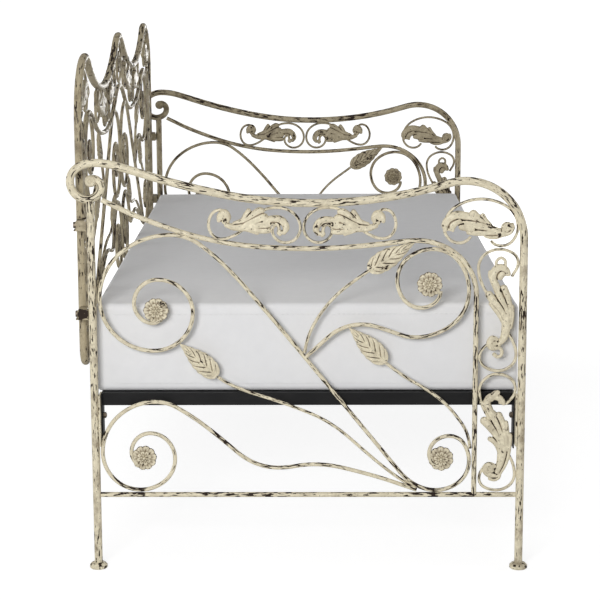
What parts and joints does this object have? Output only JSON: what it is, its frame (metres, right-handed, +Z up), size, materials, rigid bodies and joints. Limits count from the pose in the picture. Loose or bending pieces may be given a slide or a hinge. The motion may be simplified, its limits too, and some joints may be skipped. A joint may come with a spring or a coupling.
{
  "type": "daybed",
  "caption": "Wrought-iron daybed with scrolled end panels, a three-hump scrolled back panel, a steel angle base and a loose mattress.",
  "frame": {"origin": "on the floor, centred under the daybed's bounding box", "axes": "+X along the length, +Y towards the back panel, +Z up"},
  "size_m": [2.032, 1.0755, 1.2205],
  "materials": {
    "cream_iron": "antique cream paint with dark worn spots",
    "cast_cream": "antique cream paint over cast relief",
    "black_steel": "satin black",
    "fastener": "dull",
    "ticking": "plain woven"
  },
  "bodies": {
    "frame": {"back_bolts": "fastener", "back_bottom_rail": "cream_iron", "back_brackets": "cream_iron", "back_branches": "cream_iron", "back_inner_rail": "cream_iron", "back_leaf_stems": "cream_iron", "back_leaves": "cast_cream", "back_lower_stems": "cream_iron", "back_main_stems": "cream_iron", "back_outline": "cream_iron", "back_rosettes": "cast_cream", "back_scroll_castings": "cast_cream", "back_scroll_wires": "cream_iron", "base_bolts": "fastener", "base_legs": "black_steel", "base_nuts": "fastener", "base_rail_front": "black_steel", "base_rail_left": "black_steel", "base_rail_rear": "black_steel", "base_rail_right": "black_steel", "base_slats": "black_steel", "left_bottom_rail": "cream_iron", "left_branch_scroll": "cream_iron", "left_feet": "cast_cream", "left_front_post": "cream_iron", "left_inner_rail": "cream_iron", "left_leaf_stems": "cream_iron", "left_leaves": "cast_cream", "left_lower_stem": "cream_iron", "left_main_stem": "cream_iron", "left_mount_plates": "cream_iron", "left_rear_post": "cream_iron", "left_rosettes": "cast_cream", "left_scroll_castings": "cast_cream", "left_scroll_wires": "cream_iron", "left_top_rail": "cream_iron", "right_bottom_rail": "cream_iron", "right_branch_scroll": "cream_iron", "right_feet": "cast_cream", "right_front_post": "cream_iron", "right_inner_rail": "cream_iron", "right_leaf_stems": "cream_iron", "right_leaves": "cast_cream", "right_lower_stem": "cream_iron", "right_main_stem": "cream_iron", "right_mount_plates": "cream_iron", "right_rear_post": "cream_iron", "right_rosettes": "cast_cream", "right_scroll_castings": "cast_cream", "right_scroll_wires": "cream_iron", "right_top_rail": "cream_iron"},
    "mattress_body": {"mattress": "ticking"}
  },
  "joints": [
    {"name": "mattress_lift", "type": "slide", "parent": "frame", "child": "mattress_body", "axis": [0, 0, 1], "range_m": [0, 0.6]}
  ]
}
